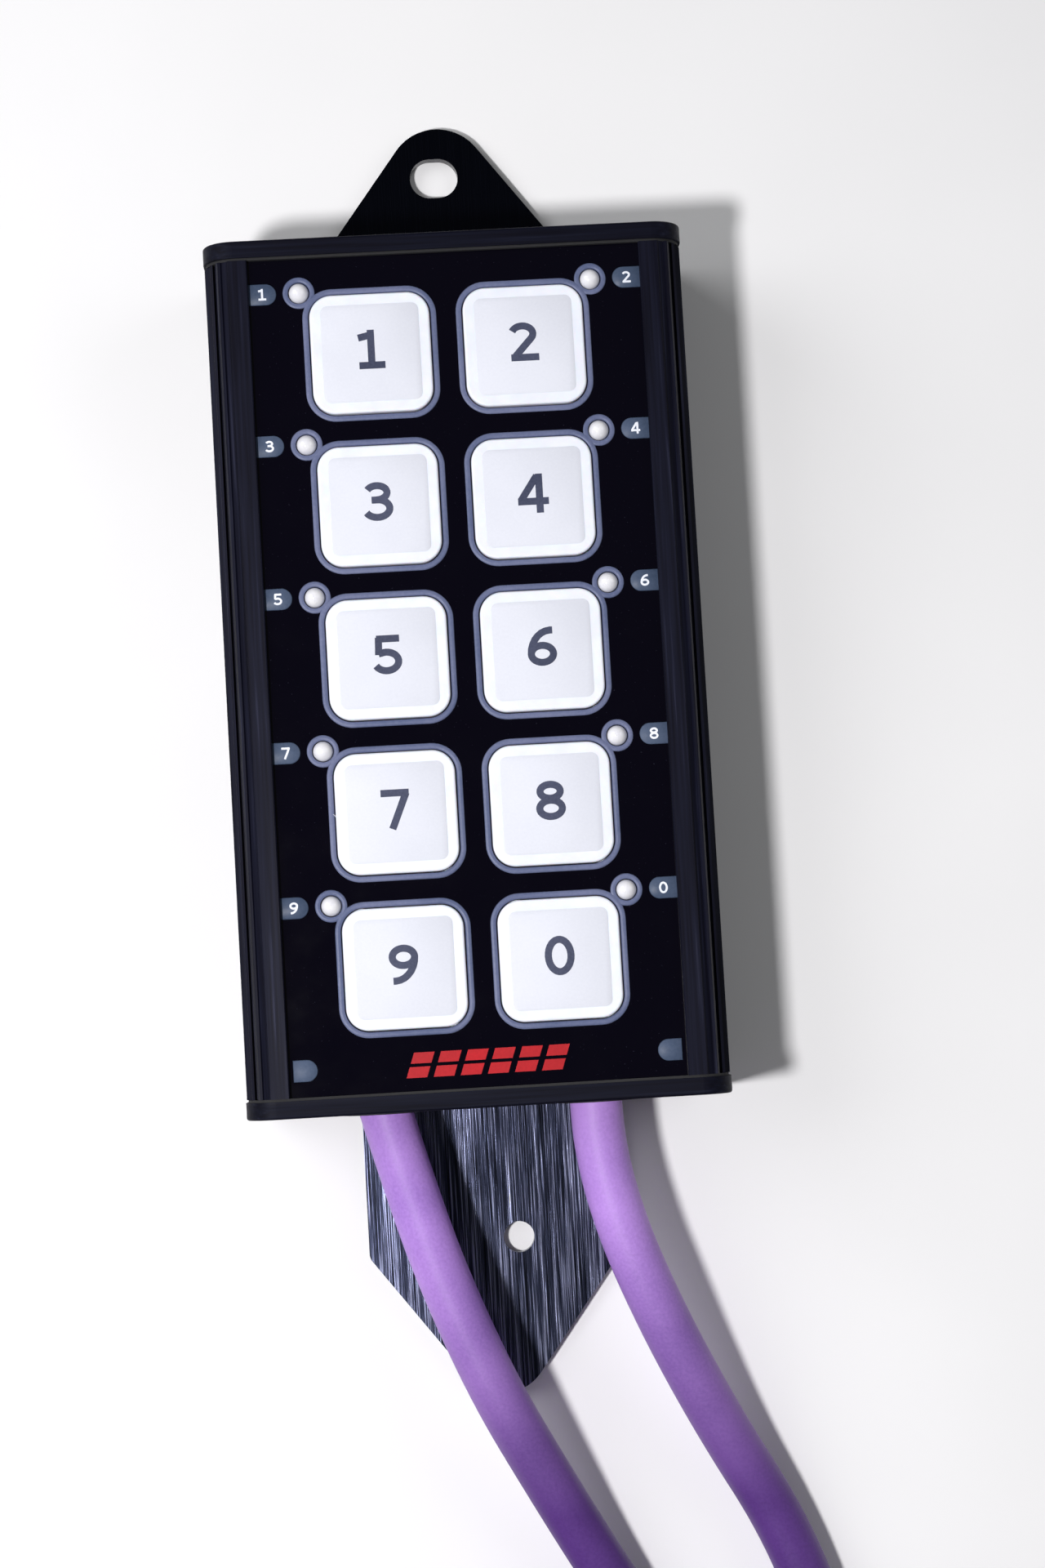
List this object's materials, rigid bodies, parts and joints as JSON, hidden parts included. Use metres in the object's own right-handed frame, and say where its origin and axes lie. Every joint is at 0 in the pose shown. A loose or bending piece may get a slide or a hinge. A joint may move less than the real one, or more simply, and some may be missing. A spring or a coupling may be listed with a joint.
{
  "type": "ten-key response keypad",
  "caption": "Flat black box keypad with square lit keys, a hanging bracket behind it and coiled violet bus cables with screw connectors.",
  "frame": {"origin": "centre of the back face of the mounting bracket, on the surface that the keypad lies on; the free cables are not counted", "axes": "+Z out of the key face, +Y up the face towards the slotted tab, +X to the right"},
  "size_m": [0.1045, 0.4288, 0.0305],
  "materials": {
    "housing": "satin black anodised",
    "end_plate": "satin black anodised",
    "gasket": "matte black rubber",
    "screw": "plain zinc",
    "bracket": "brushed, black anodised",
    "panel": "matte",
    "seal_mat": "grey silicone",
    "legend": "printed grey-blue",
    "overlay": "glossy film",
    "key": "glossy white",
    "plunger": "natural nylon",
    "switch": "moulded black",
    "contact": "gold plated",
    "lens": "clear moulded",
    "light": "moulded",
    "board": "green solder mask",
    "component": "moulded black",
    "terminal": "moulded green",
    "core": "insulated wire",
    "clamp": "moulded nylon",
    "grommet": "matte black rubber",
    "cable": "violet sheath",
    "tie": "black hook-and-loop strap",
    "connector": "moulded black",
    "coupling": "nickel plated"
  },
  "bodies": {
    "root": {"board_components": "component", "bottom_end_gasket": "gasket", "bottom_end_plate": "end_plate", "bottom_plate_screws": "screw", "bracket_nuts": "screw", "bracket_screws": "screw", "cable_left": "cable", "cable_right": "cable", "circuit_board": "board", "clamp_bar": "clamp", "clamp_base": "clamp", "clamp_screws": "screw", "coil_left": "cable", "coil_right": "cable", "connector_left": "connector", "connector_right": "connector", "contacts_left": "contact", "contacts_right": "contact", "core_wires": "core", "front_panel": "panel", "graphic_overlay": "overlay", "grommet_left": "grommet", "grommet_right": "grommet", "housing_extrusion": "housing", "key_seal_mat": "seal_mat", "led_lenses": "lens", "legend_strips": "legend", "mounting_bracket": "bracket", "status_lights": "light", "switch_bodies": "switch", "switch_contacts": "contact", "terminal_blocks": "terminal", "terminal_screws": "screw", "tie_left": "tie", "tie_right": "tie", "top_end_gasket": "gasket", "top_end_plate": "end_plate", "top_plate_screws": "screw"},
    "key_1": {"key_cap_1": "key", "key_plunger_1": "plunger"},
    "key_2": {"key_cap_2": "key", "key_plunger_2": "plunger"},
    "key_3": {"key_cap_3": "key", "key_plunger_3": "plunger"},
    "key_4": {"key_cap_4": "key", "key_plunger_4": "plunger"},
    "key_5": {"key_cap_5": "key", "key_plunger_5": "plunger"},
    "key_6": {"key_cap_6": "key", "key_plunger_6": "plunger"},
    "key_7": {"key_cap_7": "key", "key_plunger_7": "plunger"},
    "key_8": {"key_cap_8": "key", "key_plunger_8": "plunger"},
    "key_9": {"key_cap_9": "key", "key_plunger_9": "plunger"},
    "key_0": {"key_cap_0": "key", "key_plunger_0": "plunger"},
    "coupling_ring_left": {"coupling_left": "coupling"},
    "coupling_ring_right": {"coupling_right": "coupling"}
  },
  "joints": [
    {"name": "key_1_press", "type": "slide", "parent": "root", "child": "key_1", "axis": [0, 0, -1], "range_m": [0, 0.0006], "stiffness_N_per_m": 1500, "springref_m": -0.0005},
    {"name": "key_2_press", "type": "slide", "parent": "root", "child": "key_2", "axis": [0, 0, -1], "range_m": [0, 0.0006], "stiffness_N_per_m": 1500, "springref_m": -0.0005},
    {"name": "key_3_press", "type": "slide", "parent": "root", "child": "key_3", "axis": [0, 0, -1], "range_m": [0, 0.0006], "stiffness_N_per_m": 1500, "springref_m": -0.0005},
    {"name": "key_4_press", "type": "slide", "parent": "root", "child": "key_4", "axis": [0, 0, -1], "range_m": [0, 0.0006], "stiffness_N_per_m": 1500, "springref_m": -0.0005},
    {"name": "key_5_press", "type": "slide", "parent": "root", "child": "key_5", "axis": [0, 0, -1], "range_m": [0, 0.0006], "stiffness_N_per_m": 1500, "springref_m": -0.0005},
    {"name": "key_6_press", "type": "slide", "parent": "root", "child": "key_6", "axis": [0, 0, -1], "range_m": [0, 0.0006], "stiffness_N_per_m": 1500, "springref_m": -0.0005},
    {"name": "key_7_press", "type": "slide", "parent": "root", "child": "key_7", "axis": [0, 0, -1], "range_m": [0, 0.0006], "stiffness_N_per_m": 1500, "springref_m": -0.0005},
    {"name": "key_8_press", "type": "slide", "parent": "root", "child": "key_8", "axis": [0, 0, -1], "range_m": [0, 0.0006], "stiffness_N_per_m": 1500, "springref_m": -0.0005},
    {"name": "key_9_press", "type": "slide", "parent": "root", "child": "key_9", "axis": [0, 0, -1], "range_m": [0, 0.0006], "stiffness_N_per_m": 1500, "springref_m": -0.0005},
    {"name": "key_0_press", "type": "slide", "parent": "root", "child": "key_0", "axis": [0, 0, -1], "range_m": [0, 0.0006], "stiffness_N_per_m": 1500, "springref_m": -0.0005},
    {"name": "coupling_left_turn", "type": "hinge", "parent": "root", "child": "coupling_ring_left", "pos_m": [-0.02945, -0.31029, 0.0075], "axis": [-0.6703, -0.7421, 0], "continuous": true},
    {"name": "coupling_right_turn", "type": "hinge", "parent": "root", "child": "coupling_ring_right", "pos_m": [0.02864, -0.31479, 0.0075], "axis": [-0.2969, -0.9549, 0], "continuous": true}
  ]
}
